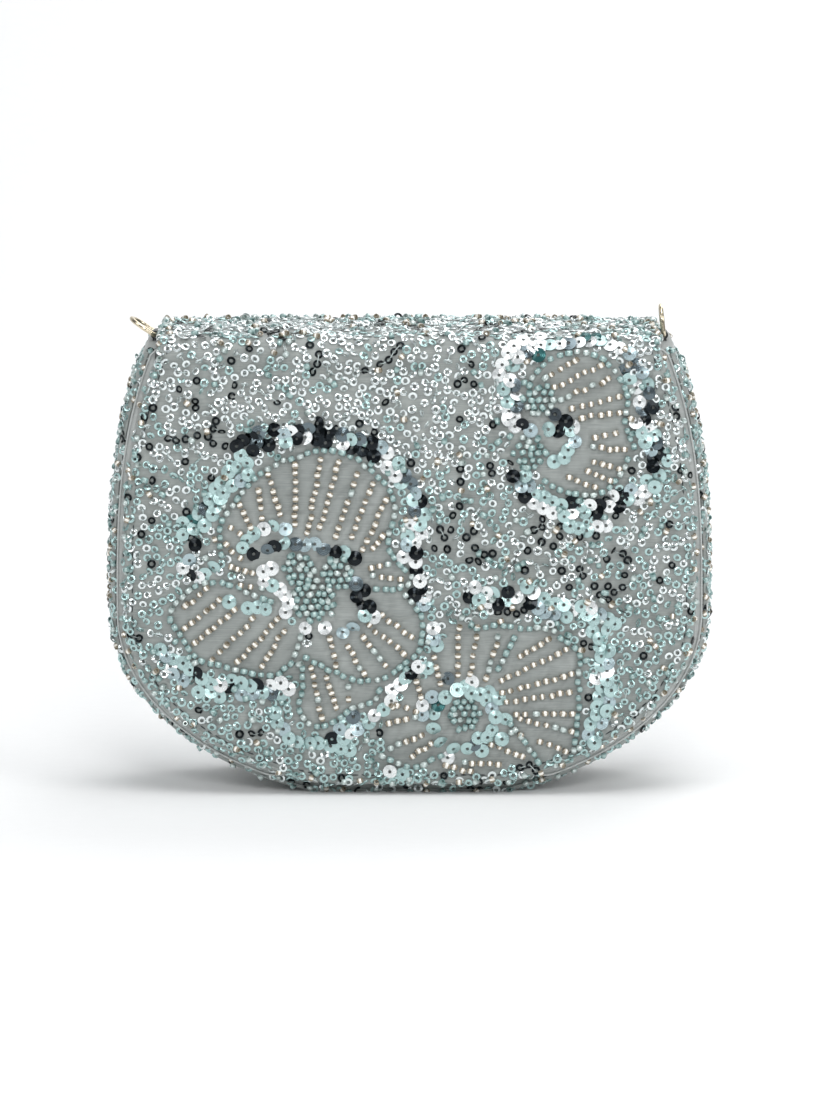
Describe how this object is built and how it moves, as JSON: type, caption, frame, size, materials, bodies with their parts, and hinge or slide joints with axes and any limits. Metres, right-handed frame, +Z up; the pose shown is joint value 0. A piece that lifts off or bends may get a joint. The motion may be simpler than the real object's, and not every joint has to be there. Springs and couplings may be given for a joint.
{
  "type": "evening bag",
  "caption": "Half-moon box evening bag with a full embroidered front flap, magnetic snap closure and a small ring at each end of the mouth.",
  "frame": {"origin": "on the floor under the middle of the closed bag", "axes": "+X to the bag's right as seen from the front, +Y from front to back, +Z up"},
  "size_m": [0.196, 0.0614, 0.1596],
  "materials": {
    "outer_fabric": "pale grey satin, slightly puckered, satin sheen",
    "board": "grey board, matt",
    "lining": "plain silver-grey satin",
    "tape": "grosgrain tape, matt",
    "ribbon": "dark grey ribbon",
    "ring_metal": "pale gold plate, polished",
    "snap_metal": "nickel plate, satin polish",
    "magnet": "sintered ferrite, matt",
    "sequin_silver": "mirror silver film",
    "sequin_aqua": "pale aqua metallic film",
    "sequin_dark": "graphite metallic film",
    "bead_teal": "translucent teal glass",
    "bead_gold": "silver-lined pale gold glass",
    "thread": "fine polyester thread"
  },
  "bodies": {
    "body": {"front_panel_fabric": "outer_fabric", "front_board": "board", "front_lining": "lining", "back_panel_fabric": "outer_fabric", "back_board": "board", "back_lining": "lining", "gusset_fabric": "outer_fabric", "gusset_board": "board", "gusset_lining": "lining", "mouth_binding": "tape", "slip_pocket": "lining", "slip_pocket_hem": "tape", "snap_socket_base": "snap_metal", "snap_magnet": "magnet", "snap_socket_cover": "snap_metal", "snap_socket_washer": "snap_metal", "left_ring_tab": "ribbon", "right_ring_tab": "ribbon"},
    "flap_top": {"flap_top_fabric": "outer_fabric", "flap_top_board": "board", "flap_top_lining": "lining"},
    "flap_front": {"flap_front_fabric": "outer_fabric", "flap_front_board": "board", "flap_front_lining": "lining", "snap_stud": "snap_metal", "snap_stud_washer": "snap_metal"},
    "left_ring": {"left_d_ring": "ring_metal"},
    "right_ring": {"right_d_ring": "ring_metal"}
  },
  "joints": [
    {"name": "flap_hinge", "type": "hinge", "parent": "body", "child": "flap_top", "pos_m": [0, 0.0307, 0.1483], "axis": [-1, 0, 0], "range_deg": [0, 170]},
    {"name": "flap_fold", "type": "hinge", "parent": "flap_top", "child": "flap_front", "pos_m": [0, -0.0273, 0.1483], "axis": [-1, 0, 0], "range_deg": [0, 90]},
    {"name": "left_ring_swing", "type": "hinge", "parent": "body", "child": "left_ring", "pos_m": [-0.0843, 0.0037, 0.1495], "axis": [0, 1, 0], "range_deg": [-48, 63]},
    {"name": "right_ring_swing", "type": "hinge", "parent": "body", "child": "right_ring", "pos_m": [0.0843, 0.0037, 0.1495], "axis": [0, -1, 0], "range_deg": [-111, 0]}
  ]
}
